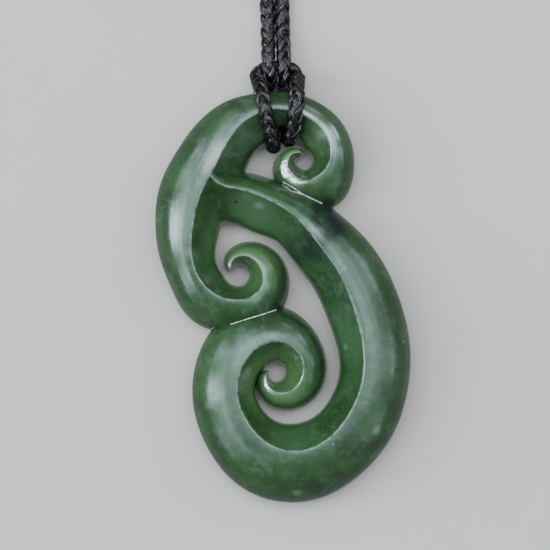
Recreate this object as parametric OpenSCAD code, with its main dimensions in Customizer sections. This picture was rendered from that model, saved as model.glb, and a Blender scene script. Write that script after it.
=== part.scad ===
// Carved stone pendant with three curls, lying face up on its flat back.
// A braided cord is hitched over its top rim and lies on the same surface as a whole loop.
// Millimetres. +Y runs from the lowest curve to the top rim, +Z out of the carved face.
// The origin is the middle of the stone's box, on the surface that it lies on.

/* [Stone] */
// Width of the stone over its widest curves
pendant_w = 37.4; // [34:0.1:42]
// Height of the stone from its lowest curve to its top rim
pendant_h = 60.2; // [56:0.1:66]
// Thickness of the stone under its highest crest
pendant_t = 9; // [8:0.1:10]
// Length over which a curl's end rounds off
tip_round = 0.9; // [0.5:0.1:1.2]

/* [Cord] */
// Diameter of the round braided cord
cord_d = 2.1; // [1.6:0.1:2.1]
// Length of the closing knot
knot_l = 7; // [6.8:0.1:7.2]
// Diameter of the closing knot at its middle
knot_d = 4.4; // [3.6:0.1:5]

/* [Hidden] */

// The stone is two bands. Each is followed from the tip of its own curl.
// A row is a section: the crest's place, the widths of the flanks on the outside
// and on the inside of the turn, the crest's height and the back's height.
// A back below zero is ground off flat at zero. The sizes above then scale the whole.
// x, y, outer, inner, crest, back
HEAD_BAND = [
    [  3.1,  21.0, 0.9, 0.8, 5.6, -0.5],
    [  1.5,  20.9, 1.2, 0.9, 5.9, -0.5],
    [  0.6,  19.3, 2.1, 1.4, 6.3, -0.5],
    [  1.3,  17.9, 2.9, 1.5, 6.7, -0.5],
    [  3.1,  17.0, 4.1, 1.6, 7.0, -0.5],
    [  5.2,  17.7, 5.1, 1.8, 7.2, -0.5],
    [  6.7,  19.5, 4.0, 2.8, 7.3, -0.5],
    [  7.0,  21.7, 3.2, 3.4, 7.4,  0.4],
    [  6.0,  24.2, 2.9, 3.6, 7.4,  1.4],
    [  3.3,  26.4, 2.7, 3.0, 7.4,  2.3],
    [  0.0,  27.4, 2.7, 2.7, 7.4,  2.4],
    [ -3.4,  26.9, 3.0, 3.8, 7.5,  2.4],
    [ -6.0,  25.4, 4.1, 4.4, 7.8,  1.3],
    [ -8.4,  22.1, 5.5, 4.1, 8.3, -0.1],
    [-10.3,  18.5, 6.0, 4.5, 8.7, -0.5],
    [-12.1,  14.9, 6.1, 4.2, 8.8, -0.5],
    [-13.1,  10.8, 5.7, 4.0, 8.7, -0.5],
    [-13.4,   6.8, 4.9, 3.5, 8.5, -0.5],
    [-12.4,   3.0, 4.4, 3.1, 8.2, -0.5],
    [-10.2,   0.5, 5.1, 2.8, 7.9, -0.5],
    [ -7.0,  -0.5, 4.9, 2.0, 7.6, -0.5],
    [ -4.4,   0.1, 4.8, 2.1, 7.3, -0.5],
    [ -2.9,   2.3, 3.9, 2.2, 7.0, -0.5],
    [ -3.6,   4.8, 3.1, 1.9, 6.7, -0.5],
    [ -5.7,   6.0, 2.0, 1.6, 6.2, -0.5],
    [ -7.4,   5.2, 1.4, 0.9, 5.8, -0.5],
    [ -7.8,   3.6, 0.7, 0.4, 5.4, -0.5],
];
BODY_BAND = [
    [ -2.2, -10.9, 0.8, 0.3, 5.2, -0.8],
    [ -2.5, -12.2, 1.4, 0.6, 5.5, -0.8],
    [ -1.4, -13.8, 2.2, 1.5, 5.9, -0.8],
    [  1.0, -13.9, 2.9, 2.2, 6.2, -0.8],
    [  2.8, -11.8, 3.4, 2.6, 6.6, -0.8],
    [  2.6,  -8.7, 3.5, 3.1, 7.1, -0.8],
    [ -0.1,  -6.6, 4.8, 3.3, 7.8, -0.8],
    [ -3.6,  -7.4, 6.4, 3.1, 8.2, -0.8],
    [ -6.0, -10.3, 6.6, 2.8, 8.6, -0.8],
    [ -6.6, -14.6, 6.7, 2.6, 8.8, -0.8],
    [ -5.0, -18.6, 7.1, 2.8, 8.9, -0.8],
    [ -1.6, -21.8, 7.7, 3.5, 9.0, -0.8],
    [  2.8, -22.5, 7.6, 3.9, 9.0, -0.8],
    [  7.0, -20.4, 7.2, 3.6, 9.0, -0.8],
    [  9.9, -16.7, 7.2, 3.4, 9.0, -0.8],
    [ 11.5, -12.6, 6.9, 3.4, 9.0, -0.8],
    [ 11.8,  -8.4, 6.9, 3.6, 9.0, -0.8],
    [ 10.6,  -2.4, 6.8, 4.1, 9.0, -0.8],
    [  8.3,   3.3, 6.3, 4.3, 9.0, -0.8],
    [  5.1,   7.9, 5.4, 4.4, 9.0, -0.8],
    [  1.6,  11.9, 4.1, 4.6, 8.9, -0.8],
    [ -1.9,  14.1, 3.1, 5.2, 8.8, -0.8],
    [ -5.9,  15.6, 2.7, 5.2, 8.8, -0.8],
    [ -9.3,  16.5, 2.3, 4.6, 8.8, -0.8],
    [-10.5,  17.6, 1.8, 3.4, 8.7, -0.8],
    [-11.3,  19.2, 1.4, 1.6, 8.0, -0.8],
];

// The section of a band, from the inner edge of the back over the crest to the outer edge.
// across is a share of that side's flank, up a share of the way from the back to the crest.
// across, up
SECTION = [
    [-0.80, 0.00],
    [-0.94, 0.06],
    [-1.00, 0.16],
    [-1.00, 0.36],
    [-0.93, 0.50],
    [-0.74, 0.62],
    [-0.40, 0.79],
    [ 0.00, 1.00],
    [ 0.24, 0.985],
    [ 0.48, 0.93],
    [ 0.70, 0.82],
    [ 0.87, 0.66],
    [ 0.97, 0.47],
    [ 1.00, 0.32],
    [ 0.96, 0.12],
    [ 0.86, 0.00],
];

// Route of the cord. This table is its far half loop, from the closing knot round to the
// tails, and both sides take it. The loop's end is folded back once, so it has two turns.
FAR_LOOP = [
    [  3.6,  64.0, 1.1],
    [  5.7,  64.3, 1.1],
    [  7.8,  67.0, 1.1],
    [  7.0, 129.0, 1.1],
    [  8.6, 134.2, 1.1],
    [ 12.0, 136.2, 1.1],
    [ 15.4, 134.2, 1.1],
    [ 16.8, 129.0, 1.1],
    [ 16.4,  94.0, 1.1],
    [  9.9,  66.0, 1.1],
];
// The left tail, under the rim, up through the hole, over the rim and down to the bar
HITCH_LEFT = [
    [-3.1,  50.0, 1.12],
    [-2.4,  44.0, 1.13],
    [-2.2,  37.0, 1.9],
    [-2.1,  33.8, 3.4],
    [-2.0,  32.4, 3.1],
    [-2.0,  30.4, 1.5],
    [-1.9,  27.6, 1.2],
    [-1.6,  24.0, 1.4],
    [-1.4,  21.9, 3.4],
    [-1.6,  23.0, 5.7],
    [-2.1,  25.2, 7.6],
    [-2.6,  27.4, 8.7],
    [-3.2,  29.9, 7.3],
    [-3.6,  31.5, 3.9],
    [-3.8,  32.4, 2.1],
    [-2.6,  33.4, 1.3],
];
// From the bar's right end back the same way to the right tail
HITCH_RIGHT = [
    [ 0.9,  33.4, 1.3],
    [ 2.1,  32.4, 2.0],
    [ 2.1,  31.5, 3.9],
    [ 2.1,  29.9, 7.3],
    [ 1.9,  27.4, 8.7],
    [ 1.6,  25.2, 7.6],
    [ 1.2,  23.3, 5.7],
    [ 0.7,  22.9, 3.4],
    [ 0.5,  24.0, 1.4],
    [ 0.3,  27.6, 1.2],
    [ 0.2,  30.4, 1.5],
    [ 0.1,  32.4, 3.1],
    [ 0.1,  33.8, 3.4],
    [ 0.0,  37.0, 1.9],
    [-0.1,  44.0, 1.13],
    [ 0.6,  50.0, 1.12],
];
ROUTE = concat(
    [for (p = FAR_LOOP) [-p.x, p.y, p.z]],
    HITCH_LEFT,
    HITCH_RIGHT,
    [for (i = [len(FAR_LOOP) - 1:-1:0]) FAR_LOOP[i]]
);

BAND_STEPS = 4;     // sections worked out from one row to the next
CORD_SIDES = 8;
LONG_STEP = 16;     // spacing of the cord's rings where it lies straight
SHORT_STEP = 2.8;   // spacing of its rings in the hitch
HITCH_REACH = 4;    // rows of the route nearer than this belong to the hitch
SMALLEST = 0.2;     // share of its width that a curl's end keeps
CLEAR = 0.95;       // share of the turn's radius that the inside flank may fill
BLEND = 6;          // how closely the flank's width follows the smaller of its two limits
GROUND = 200;       // side of the block that the back is ground off with
KNOT_FACE = 0.65;   // radius of the knot's end faces, in cord diameters
KNOT_SIDES = 48;

// A smooth curve through rows of numbers, by the distance between their places in turn.
// Its pull at a row is how fast its direction changes there, and it is none at both ends.
function place(row, dims) = [for (i = [0:dims - 1]) row[i]];
function gap(a, b) = norm(place(a - b, 2));
function spans(rows, dims) =
    [for (i = [0:len(rows) - 2]) norm(place(rows[i + 1], dims) - place(rows[i], dims))];
function swept(rows, h, i, before) =
    let (
        want = 6 * ((rows[i + 1] - rows[i]) / h[i] - (rows[i] - rows[i - 1]) / h[i - 1]),
        weight = 2 * (h[i - 1] + h[i]) - h[i - 1] * before[0]
    )
    [h[i] / weight, (want - h[i - 1] * before[1]) / weight];
function pulls(rows, h) =
    let (
        last = len(h),
        none = 0 * rows[0],
        sweep = [for (i = 0, s = [0, none]; i < last;
            i = i + 1, s = i < last ? swept(rows, h, i, s) : s) s],
        back = [for (i = last, m = none; i >= 0;
            i = i - 1, m = i > 0 ? sweep[i][1] - sweep[i][0] * m : none) m]
    )
    [for (i = [0:last]) back[last - i]];
function along(rows, h, m, i, t) =
    (1 - t) * rows[i] + t * rows[i + 1]
    + (((1 - t)^3 - (1 - t)) * m[i] + (t^3 - t) * m[i + 1]) * h[i]^2 / 6;
function ahead(rows, h, m, i, t, dims) =
    place((rows[i + 1] - rows[i]) / h[i]
        + ((1 - 3 * (1 - t)^2) * m[i] + (3 * t^2 - 1) * m[i + 1]) * h[i] / 6, dims);

// Triangles of a closed skin over rings of the same number of points
function skin(rings, sides) = concat(
    [[for (k = [0:sides - 1]) k]],
    [for (i = [0:rings - 2], k = [0:sides - 1])
        [i * sides + k, (i + 1) * sides + k, (i + 1) * sides + (k + 1) % sides]],
    [for (i = [0:rings - 2], k = [0:sides - 1])
        [i * sides + k, (i + 1) * sides + (k + 1) % sides, i * sides + (k + 1) % sides]],
    [[for (k = [sides - 1:-1:0]) (rings - 1) * sides + k]]
);

// The smaller of two lengths, with the change from one to the other rounded over
function lesser(a, b) = (a^-BLEND + b^-BLEND)^(-1 / BLEND);

// One section of a band as points. way is the crest's direction there and bend is how
// fast it turns. near is the distance to the nearer end of the band, where the section
// shrinks as a round end does. The inside flank stops short of the centre of the turn.
function band_ring(row, way, bend, near) =
    let (
        share = max(SMALLEST, sqrt(1 - (1 - min(1, near / tip_round))^2)),
        inside = bend > 0 ? lesser(row[3], CLEAR / bend) : row[3],
        middle = (row[4] + row[5]) / 2
    )
    [for (s = SECTION)
        let (
            reach = s[0] * share * (s[0] < 0 ? inside : row[2]),
            up = row[5] + s[1] * (row[4] - row[5])
        )
        [
            row[0] + reach * way.y,
            row[1] - reach * way.x,
            middle + (up - middle) * (0.5 + 0.5 * share)
        ]];

module band(rows) {
    h = spans(rows, 2);
    m = pulls(rows, h);
    steps = [
        for (i = [0:len(h) - 1], k = [0:BAND_STEPS - 1]) [i, k / BAND_STEPS],
        [len(h) - 1, 1]
    ];
    rings = [for (s = steps)
        let (
            row = along(rows, h, m, s[0], s[1]),
            go = ahead(rows, h, m, s[0], s[1], 2),
            pull = (1 - s[1]) * m[s[0]] + s[1] * m[s[0] + 1],
            bend = (go.x * pull.y - go.y * pull.x) / norm(go)^3
        )
        band_ring(row, go / norm(go), bend, min(gap(row, rows[0]), gap(row, rows[len(h)])))];
    polyhedron(points = [for (r = rings, p = r) p], faces = skin(len(rings), len(SECTION)), convexity = 10);
}

// The whole stone is one piece: its bands run into each other, and its back is flat
module pendant() {
    color([0.16, 0.36, 0.25])
    resize([pendant_w, pendant_h, pendant_t])
    intersection() {
        union() {
            band(HEAD_BAND);
            band(BODY_BAND);
        }
        translate([-GROUND / 2, -GROUND / 2, 0]) cube(GROUND);
    }
}

// A ring's sideways direction is carried on from the last ring, so the tube doesn't twist
function carried(side, ahead) =
    let (flat = side - (side * ahead) * ahead)
    flat / norm(flat);

module cord() {
    h = spans(ROUTE, 3);
    m = pulls(ROUTE, h);
    steps = [
        for (i = [0:len(h) - 1])
            let (count = ceil(h[i] / (h[i] < HITCH_REACH ? SHORT_STEP : LONG_STEP)))
            for (k = [0:count - 1]) [i, k / count],
        [len(h) - 1, 1]
    ];
    middles = [for (s = steps) along(ROUTE, h, m, s[0], s[1])];
    gos = [for (s = steps) ahead(ROUTE, h, m, s[0], s[1], 3)];
    aheads = [for (g = gos) g / norm(g)];
    last = len(steps) - 1;
    sides = [for (i = 0, side = carried([0, 0, 1], aheads[0]); i <= last;
        side = i < last ? carried(side, aheads[i + 1]) : side, i = i + 1) side];
    points = [for (i = [0:last], k = [0:CORD_SIDES - 1])
        let (turn = (k + 0.5) * 360 / CORD_SIDES)
        middles[i] + cord_d / 2 * (cos(turn) * sides[i] + sin(turn) * cross(sides[i], aheads[i]))];
    color([0.08, 0.07, 0.09])
    polyhedron(points = points, faces = skin(last + 1, CORD_SIDES), convexity = 10);
}

// The knot's outline, from one end face to the other.
// swell is 0 at the end faces' own radius and 1 at the knot's, down is a share of its length.
// swell, down
KNOT_OUTLINE = [
    [0.00, 0.00],
    [0.79, 0.14],
    [1.00, 0.32],
    [1.00, 0.68],
    [0.79, 0.86],
    [0.00, 1.00],
];

// A plain wound knot where the cord's two ends meet
module closing_knot() {
    face_r = KNOT_FACE * cord_d;
    color([0.08, 0.07, 0.09])
    translate([-knot_l / 2, FAR_LOOP[0].y, knot_d / 2])
    rotate([0, 90, 0])
    rotate_extrude($fn = KNOT_SIDES)
    polygon(concat(
        [[0, 0]],
        [for (k = KNOT_OUTLINE) [face_r + k[0] * (knot_d / 2 - face_r), k[1] * knot_l]],
        [[0, knot_l]]
    ));
}

pendant();
cord();
closing_knot();
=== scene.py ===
"""A carved green stone with three curls, hitched on a loop of black braided cord.

The stone lies face up on its flat back and the cord lies on the same floor. The sizes in the
tables are millimetres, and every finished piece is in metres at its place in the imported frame.
"""

from __future__ import annotations

import logging
import math
from dataclasses import dataclass, field
from enum import Enum
from functools import reduce
from typing import Iterable, Sequence

import bmesh
import bpy
import numpy as np
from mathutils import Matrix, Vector


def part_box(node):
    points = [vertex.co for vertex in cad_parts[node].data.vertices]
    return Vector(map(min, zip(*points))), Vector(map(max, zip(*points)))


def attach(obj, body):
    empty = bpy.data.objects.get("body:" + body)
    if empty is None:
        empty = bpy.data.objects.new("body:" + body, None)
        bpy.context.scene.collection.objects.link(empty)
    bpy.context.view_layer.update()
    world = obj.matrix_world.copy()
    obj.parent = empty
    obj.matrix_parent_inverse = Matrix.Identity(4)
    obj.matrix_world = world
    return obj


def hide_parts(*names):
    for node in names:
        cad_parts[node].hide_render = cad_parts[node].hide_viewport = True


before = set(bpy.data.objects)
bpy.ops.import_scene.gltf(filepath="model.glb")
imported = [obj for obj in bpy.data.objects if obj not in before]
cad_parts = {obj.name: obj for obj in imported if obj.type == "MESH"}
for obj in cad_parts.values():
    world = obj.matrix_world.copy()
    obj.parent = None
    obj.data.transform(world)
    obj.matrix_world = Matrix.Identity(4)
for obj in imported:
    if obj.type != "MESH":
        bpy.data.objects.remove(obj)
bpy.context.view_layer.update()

LOG = logging.getLogger("pendant")
MM = 0.001  # metres in a millimetre
MIX_FACTOR, MIX_UNDER, MIX_OVER, MIXED = 0, 6, 7, 2  # the Mix node's sockets for colours
FINE_STEPS = 20  # to a row, where a path is measured
FAR_Y = 50.0  # where the part of the cord begins that isn't seen close
MAP_SHIFT, MAP_TURNOVER = 3.7, 997  # these move the map on from one tube to the next

Colour = tuple[float, float, float]
Point = tuple[float, float, float]
Socket = bpy.types.NodeSocket
Value = float | Socket
Paint = Colour | Socket
Table = Sequence[Sequence[float]]


class Slot(Enum):
    """Names for two material slots."""

    STONE = "green_stone"
    BRAID = "black_braid"


class Turn(Enum):
    """The way in which a strand winds round the braid."""

    WITH = 1
    AGAINST = -1


# The bands of the stone, each from the tip of its own curl. A row is a section: the crest's
# place, the flanks' widths outside and inside the turn, the crest's and the back's height.
# x, y, outer, inner, crest, back
HEAD_BAND = (
    (3.1, 21.0, 0.9, 0.8, 5.6, -0.5),
    (1.5, 20.9, 1.2, 0.9, 5.9, -0.5),
    (0.6, 19.3, 2.1, 1.4, 6.3, -0.5),
    (1.3, 17.9, 2.9, 1.5, 6.7, -0.5),
    (3.1, 17.0, 4.1, 1.6, 7.0, -0.5),
    (5.2, 17.7, 5.1, 1.8, 7.2, -0.5),
    (6.7, 19.5, 4.0, 2.8, 7.3, -0.5),
    (7.0, 21.7, 3.2, 3.4, 7.4, 0.4),
    (6.0, 24.2, 2.9, 3.6, 7.4, 1.4),
    (3.3, 26.4, 2.7, 3.0, 7.4, 2.3),
    (0.0, 27.4, 2.7, 2.7, 7.4, 2.4),
    (-3.4, 26.9, 3.0, 3.8, 7.5, 2.4),
    (-6.0, 25.4, 4.1, 4.4, 7.8, 1.3),
    (-8.4, 22.1, 5.5, 4.1, 8.3, -0.1),
    (-10.3, 18.5, 6.0, 4.5, 8.7, -0.5),
    (-12.1, 14.9, 6.1, 4.2, 8.8, -0.5),
    (-13.1, 10.8, 5.7, 4.0, 8.7, -0.5),
    (-13.4, 6.8, 4.9, 3.5, 8.5, -0.5),
    (-12.4, 3.0, 4.4, 3.1, 8.2, -0.5),
    (-10.2, 0.5, 5.1, 2.8, 7.9, -0.5),
    (-7.0, -0.5, 4.9, 2.0, 7.6, -0.5),
    (-4.4, 0.1, 4.8, 2.1, 7.3, -0.5),
    (-2.9, 2.3, 3.9, 2.2, 7.0, -0.5),
    (-3.6, 4.8, 3.1, 1.9, 6.7, -0.5),
    (-5.7, 6.0, 2.0, 1.6, 6.2, -0.5),
    (-7.4, 5.2, 1.4, 0.9, 5.8, -0.5),
    (-7.8, 3.6, 0.7, 0.4, 5.4, -0.5),
)
BODY_BAND = (
    (-2.2, -10.9, 0.8, 0.3, 5.2, -0.8),
    (-2.5, -12.2, 1.4, 0.6, 5.5, -0.8),
    (-1.4, -13.8, 2.2, 1.5, 5.9, -0.8),
    (1.0, -13.9, 2.9, 2.2, 6.2, -0.8),
    (2.8, -11.8, 3.4, 2.6, 6.6, -0.8),
    (2.6, -8.7, 3.5, 3.1, 7.1, -0.8),
    (-0.1, -6.6, 4.8, 3.3, 7.8, -0.8),
    (-3.6, -7.4, 6.4, 3.1, 8.2, -0.8),
    (-6.0, -10.3, 6.6, 2.8, 8.6, -0.8),
    (-6.6, -14.6, 6.7, 2.6, 8.8, -0.8),
    (-5.0, -18.6, 7.1, 2.8, 8.9, -0.8),
    (-1.6, -21.8, 7.7, 3.5, 9.0, -0.8),
    (2.8, -22.5, 7.6, 3.9, 9.0, -0.8),
    (7.0, -20.4, 7.2, 3.6, 9.0, -0.8),
    (9.9, -16.7, 7.2, 3.4, 9.0, -0.8),
    (11.5, -12.6, 6.9, 3.4, 9.0, -0.8),
    (11.8, -8.4, 6.9, 3.6, 9.0, -0.8),
    (10.6, -2.4, 6.8, 4.1, 9.0, -0.8),
    (8.3, 3.3, 6.3, 4.3, 9.0, -0.8),
    (5.1, 7.9, 5.4, 4.4, 9.0, -0.8),
    (1.6, 11.9, 4.1, 4.6, 8.9, -0.8),
    (-1.9, 14.1, 3.1, 5.2, 8.8, -0.8),
    (-5.9, 15.6, 2.7, 5.2, 8.8, -0.8),
    (-9.3, 16.5, 2.3, 4.6, 8.8, -0.8),
    (-10.5, 17.6, 1.8, 3.4, 8.7, -0.8),
    (-11.3, 19.2, 1.4, 1.6, 8.0, -0.8),
)

# A band's section on either side of the crest: shares of that flank's width and of the height.
# across, up
INNER_FLANK = (
    (-0.80, 0.00),
    (-0.94, 0.06),
    (-1.00, 0.16),
    (-1.00, 0.36),
    (-0.93, 0.50),
    (-0.74, 0.62),
    (-0.40, 0.79),
    (0.00, 1.00),
)
OUTER_FLANK = (
    (0.00, 1.00),
    (0.24, 0.985),
    (0.48, 0.93),
    (0.70, 0.82),
    (0.87, 0.66),
    (0.97, 0.47),
    (1.00, 0.32),
    (0.96, 0.12),
    (0.86, 0.00),
)

# The cord's route. The first table is its far half loop from the closing knot to the tails.
# x, y, z
FAR_LOOP = (
    (3.6, 64.0, 1.1),
    (5.7, 64.3, 1.1),
    (7.8, 67.0, 1.1),
    (7.0, 129.0, 1.1),
    (8.6, 134.2, 1.1),
    (12.0, 136.2, 1.1),
    (15.4, 134.2, 1.1),
    (16.8, 129.0, 1.1),
    (16.4, 94.0, 1.1),
    (9.9, 66.0, 1.1),
)
HITCH_LEFT = (
    (-3.1, 50.0, 1.12),
    (-2.4, 44.0, 1.13),
    (-2.2, 37.0, 1.9),
    (-2.1, 33.8, 3.4),
    (-2.0, 32.4, 3.1),
    (-2.0, 30.4, 1.5),
    (-1.9, 27.6, 1.2),
    (-1.6, 24.0, 1.4),
    (-1.4, 21.9, 3.4),
    (-1.6, 23.0, 5.7),
    (-2.1, 25.2, 7.6),
    (-2.6, 27.4, 8.7),
    (-3.2, 29.9, 7.3),
    (-3.6, 31.5, 3.9),
    (-3.8, 32.4, 2.1),
    (-2.6, 33.4, 1.3),
)
HITCH_RIGHT = (
    (0.9, 33.4, 1.3),
    (2.1, 32.4, 2.0),
    (2.1, 31.5, 3.9),
    (2.1, 29.9, 7.3),
    (1.9, 27.4, 8.7),
    (1.6, 25.2, 7.6),
    (1.2, 23.3, 5.7),
    (0.7, 22.9, 3.4),
    (0.5, 24.0, 1.4),
    (0.3, 27.6, 1.2),
    (0.2, 30.4, 1.5),
    (0.1, 32.4, 3.1),
    (0.1, 33.8, 3.4),
    (0.0, 37.0, 1.9),
    (-0.1, 44.0, 1.13),
    (0.6, 50.0, 1.12),
)


def unit(vectors: np.ndarray) -> np.ndarray:
    """Vectors over their own lengths, along the last axis."""
    return vectors / np.linalg.norm(vectors, axis=-1, keepdims=True)


def ring_angles(sides: int) -> np.ndarray:
    """The angles of a ring's points, the middles of equal sectors."""
    return (np.arange(sides) + 0.5) * 2 * np.pi / sides


def smooth(share: np.ndarray) -> np.ndarray:
    """Shares from 0 to 1 eased at both ends: three times the square less twice the cube."""
    return share**2 * (3 - 2 * share)


def ellipses(middles: np.ndarray, wide: np.ndarray, thick: np.ndarray, angles: np.ndarray) -> np.ndarray:
    """An ellipse round each middle.

    A point is the middle plus the cosine of its angle times one half axis and the sine times the
    other.

    Args:
        middles: The middles.
        wide: One half axis at each of them.
        thick: The other half axis.
        angles: The angles of the points.

    Returns:
        Points by middle and angle.
    """
    cosine, sine = np.cos(angles)[None, :, None], np.sin(angles)[None, :, None]
    return middles[:, None] + cosine * wide[:, None] + sine * thick[:, None]


class SmoothRows:
    """A natural cubic spline through a table's rows.

    Its parameter is the distance between the rows' places added up. The pull at a row is the
    curve's second derivative there, which is none at both ends.
    """

    def __init__(self, rows: Table, dims: int) -> None:
        """Works out the pulls.

        Args:
            rows: The table.
            dims: How many of the first columns are the row's place.
        """
        self.rows = np.array(rows, float)
        self.gaps = np.linalg.norm(np.diff(self.rows[:, :dims], axis=0), axis=1)
        self.starts = np.concatenate([[0.0], np.cumsum(self.gaps)])
        count = len(self.rows)
        inner = np.arange(1, count - 1)
        left, right = self.gaps[:-1], self.gaps[1:]
        system = np.eye(count)
        system[inner, inner - 1] = left
        system[inner, inner] = 2 * (left + right)
        system[inner, inner + 1] = right
        slopes = np.diff(self.rows, axis=0) / self.gaps[:, None]
        wanted = np.zeros_like(self.rows)
        wanted[inner] = 6 * np.diff(slopes, axis=0)
        self.pulls = np.linalg.solve(system, wanted)

    @property
    def length(self) -> float:
        """The parameter's last value."""
        return float(self.starts[-1])

    def at(self, where: np.ndarray) -> tuple[np.ndarray, np.ndarray, np.ndarray]:
        """The curve at many places.

        A value is the two rows' mix plus the pulls' share, which is none at the rows.

        Args:
            where: Values of the parameter, in any shape.

        Returns:
            The values and their first and second derivatives, with the columns last.
        """
        i = np.clip(np.searchsorted(self.starts, where, side="right") - 1, 0, len(self.gaps) - 1)
        h = self.gaps[i][..., None]
        t = (where - self.starts[i])[..., None] / h
        a, b = self.rows[i], self.rows[i + 1]
        p, q = self.pulls[i], self.pulls[i + 1]
        s = 1 - t
        value = s * a + t * b + ((s**3 - s) * p + (t**3 - t) * q) * h**2 / 6
        first = (b - a) / h + ((1 - 3 * s**2) * p + (3 * t**2 - 1) * q) * h / 6
        return value, first, s * p + t * q


def tube_faces(rings: int, sides: int, start: int = 0, turned: bool = False) -> list[list[int]]:
    """Quads of a tube over rings of points, wrapped round, and one face over each end.

    Args:
        rings: How many rings the tube has.
        sides: How many points each ring has.
        start: The number of its first point.
        turned: Whether the quads face the other way.

    Returns:
        The point numbers of each face.
    """
    ring, side = np.meshgrid(np.arange(rings - 1), np.arange(sides), indexing="ij")
    here, over = start + ring * sides + side, start + ring * sides + (side + 1) % sides
    quads = np.stack([here, here + sides, over + sides, over], axis=-1).reshape(-1, 4)
    if turned:
        quads = quads[:, ::-1]
    first = start + np.arange(sides)
    last = first[::-1] + (rings - 1) * sides
    return [*quads.tolist(), first.tolist(), last.tolist()]


def mesh_piece(name: str, points: np.ndarray, faces: list[list[int]]) -> bpy.types.Object:
    """A smooth object at the origin from points in metres.

    Args:
        name: The object's name.
        points: Its points.
        faces: Point numbers of each face.

    Returns:
        The object, linked to the scene.
    """
    mesh = bpy.data.meshes.new(name)
    mesh.from_pydata(points.reshape(-1, 3).tolist(), [], faces)
    mesh.polygons.foreach_set("use_smooth", [True] * len(mesh.polygons))
    mesh.update()
    piece = bpy.data.objects.new(name, mesh)
    bpy.context.scene.collection.objects.link(piece)
    return piece


def lay_map(piece: bpy.types.Object, values: np.ndarray) -> None:
    """Gives a piece a map.

    Args:
        piece: The object.
        values: The map's two numbers at each of its points.
    """
    mesh = piece.data
    layer = mesh.uv_layers.new(name="own")
    corners = np.empty(len(mesh.loops), np.int32)
    mesh.loops.foreach_get("vertex_index", corners)
    layer.data.foreach_set("uv", values[corners].ravel())


def triangles(piece: bpy.types.Object) -> int:
    """How many triangles a piece's mesh comes to."""
    piece.data.calc_loop_triangles()
    return len(piece.data.loop_triangles)


@dataclass(frozen=True)
class Clouds:
    """Noise put through a smooth step from 0 at low to top at high, where low may be the larger."""

    scale: float  # clouds to the unit
    detail: float  # how many finer layers they have
    rough: float  # how strong those are
    low: float = 0.0
    high: float = 1.0
    top: float = 1.0
    bent: float = 0.0  # how far the noise is distorted


@dataclass(frozen=True)
class Relief:
    """Bumps in the shape of the plain noise."""

    clouds: Clouds
    strength: float  # how much of them shows
    deep: float  # in metres


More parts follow.
